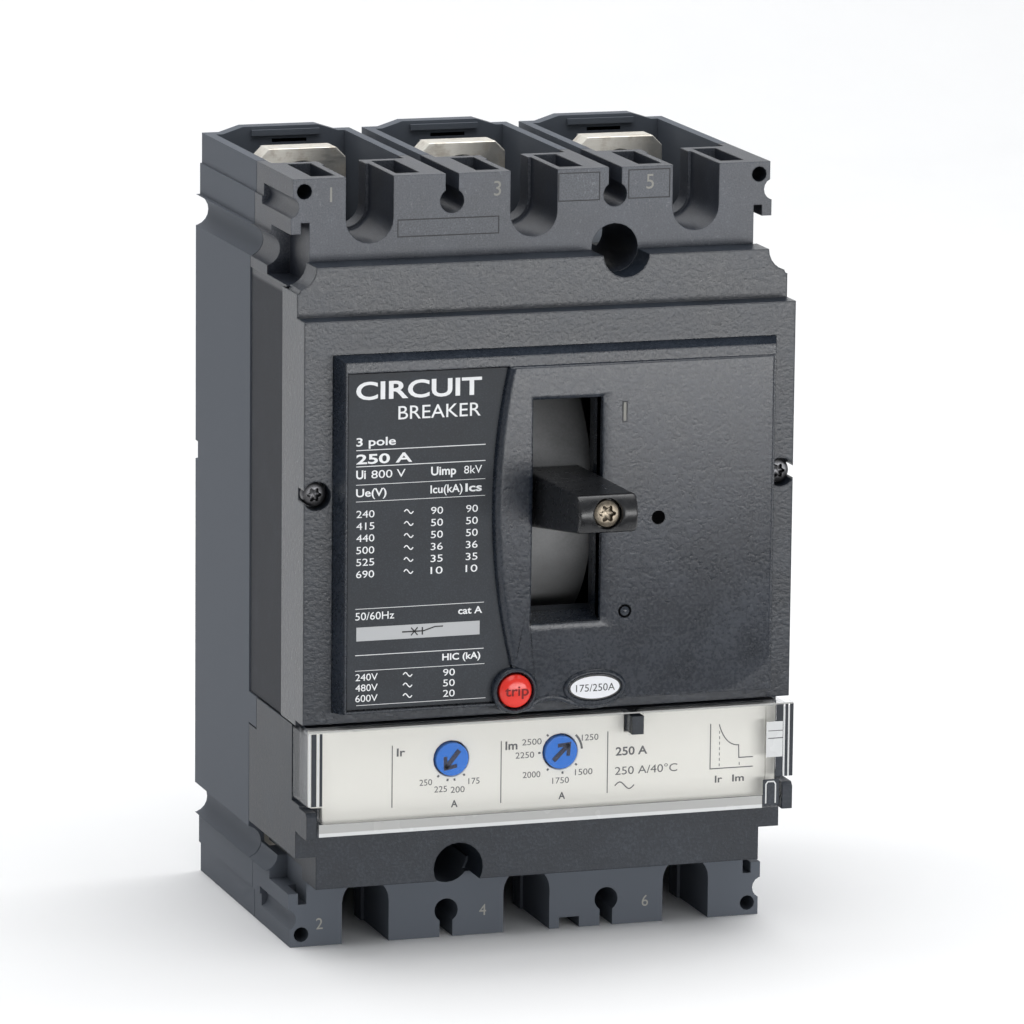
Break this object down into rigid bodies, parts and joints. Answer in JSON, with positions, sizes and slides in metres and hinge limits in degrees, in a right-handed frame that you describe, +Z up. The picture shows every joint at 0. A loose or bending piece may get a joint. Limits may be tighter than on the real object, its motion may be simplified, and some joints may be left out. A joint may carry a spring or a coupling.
{
  "type": "molded case circuit breaker",
  "caption": "Three-pole molded case circuit breaker with a toggle, a push-to-trip button and a trip unit with two dials under a hinged clear cover.",
  "frame": {"origin": "centre of the rear mounting face", "axes": "+X right seen from the front, +Y into the mounting plate, +Z up; the toggle faces -Y"},
  "size_m": [0.105, 0.1135, 0.1612],
  "materials": {
    "case_plastic": "fine grained moulded polyester, dark blue-grey",
    "dark_plastic": "smooth black moulding",
    "label_grey": "printed dark grey plate",
    "insert_white": "white printed insert",
    "face_white": "warm white moulding with grey print",
    "zinc_steel": "zinc plated steel",
    "spring_steel": "drawn spring wire",
    "tinned_copper": "tin plated copper bar",
    "bare_copper": "bare copper",
    "arc_chute_steel": "dull steel plates in fibre boards",
    "bimetal": "rolled bimetal strip",
    "soft_steel": "soft magnetic steel",
    "shaft_resin": "brown thermoset",
    "trip_bar_resin": "ivory thermoplastic",
    "button_red": "glossy red",
    "dial_blue": "glossy blue",
    "clear_plastic": "clear polycarbonate"
  },
  "bodies": {
    "housing": {"rear_case": "case_plastic", "middle_case": "case_plastic", "load_terminal_block": "case_plastic", "front_cover": "case_plastic", "face_plate": "case_plastic", "label_plate": "label_grey", "rating_insert": "insert_white", "cover_screw_left": "zinc_steel", "cover_screw_right": "zinc_steel", "trip_unit_case": "case_plastic", "trip_unit_face": "face_white", "toggle_pin": "zinc_steel", "mechanism_plate_left": "zinc_steel", "mechanism_plate_right": "zinc_steel", "line_terminal_1": "tinned_copper", "load_terminal_2": "tinned_copper", "terminal_nut_1": "zinc_steel", "terminal_nut_2": "zinc_steel", "fixed_contact_1": "bare_copper", "arc_chute_line_1": "arc_chute_steel", "arc_chute_load_1": "arc_chute_steel", "bimetal_1": "bimetal", "magnet_yoke_1": "soft_steel", "line_terminal_3": "tinned_copper", "load_terminal_4": "tinned_copper", "terminal_nut_3": "zinc_steel", "terminal_nut_4": "zinc_steel", "fixed_contact_2": "bare_copper", "arc_chute_line_2": "arc_chute_steel", "arc_chute_load_2": "arc_chute_steel", "bimetal_2": "bimetal", "magnet_yoke_2": "soft_steel", "line_terminal_5": "tinned_copper", "load_terminal_6": "tinned_copper", "terminal_nut_5": "zinc_steel", "terminal_nut_6": "zinc_steel", "fixed_contact_3": "bare_copper", "arc_chute_line_3": "arc_chute_steel", "arc_chute_load_3": "arc_chute_steel", "bimetal_3": "bimetal", "magnet_yoke_3": "soft_steel"},
    "toggle": {"toggle_handle": "dark_plastic", "toggle_screw": "zinc_steel", "dust_shutter": "dark_plastic", "toggle_lever": "zinc_steel", "main_spring_left": "spring_steel", "main_spring_right": "spring_steel"},
    "contacts": {"contact_shaft": "shaft_resin", "moving_contact_1": "bare_copper", "moving_contact_2": "bare_copper", "moving_contact_3": "bare_copper"},
    "button": {"trip_button": "button_red", "trip_button_spring": "spring_steel"},
    "trip_bar": {"trip_bar": "trip_bar_resin"},
    "current_dial": {"current_dial": "dial_blue"},
    "magnetic_dial": {"magnetic_dial": "dial_blue"},
    "clear_cover": {"clear_cover": "clear_plastic"}
  },
  "joints": [
    {"name": "toggle_hinge", "type": "hinge", "parent": "housing", "child": "toggle", "pos_m": [0.00145, -0.048, 0.0116], "axis": [-1, 0, 0], "range_deg": [-27.8, 19.8]},
    {"name": "contact_shaft_hinge", "type": "hinge", "parent": "housing", "child": "contacts", "pos_m": [0, -0.0235, 0.012], "axis": [-1, 0, 0], "range_deg": [-33, 23.5]},
    {"name": "trip_button_slide", "type": "slide", "parent": "housing", "child": "button", "axis": [0, 1, 0], "range_m": [0, 0.0025], "stiffness_N_per_m": 400, "springref_m": -0.002},
    {"name": "trip_bar_hinge", "type": "hinge", "parent": "housing", "child": "trip_bar", "pos_m": [0, -0.0624, -0.04], "axis": [-1, 0, 0], "range_deg": [0, 9.3]},
    {"name": "current_dial_hinge", "type": "hinge", "parent": "housing", "child": "current_dial", "pos_m": [-0.0208, -0.0818, -0.0389], "axis": [0, -1, 0], "range_deg": [0, 76]},
    {"name": "magnetic_dial_hinge", "type": "hinge", "parent": "housing", "child": "magnetic_dial", "pos_m": [0.00265, -0.0818, -0.0389], "axis": [0, -1, 0], "range_deg": [-277, 0]},
    {"name": "clear_cover_hinge", "type": "hinge", "parent": "housing", "child": "clear_cover", "pos_m": [0, -0.0823, -0.0506], "axis": [1, 0, 0], "range_deg": [0, 90]}
  ],
  "couplings": [
    {"joint": "contact_shaft_hinge", "follows": "toggle_hinge", "ratio": 1.18},
    {"joint": "trip_bar_hinge", "follows": "trip_button_slide", "rad_per_m": 63.3}
  ]
}
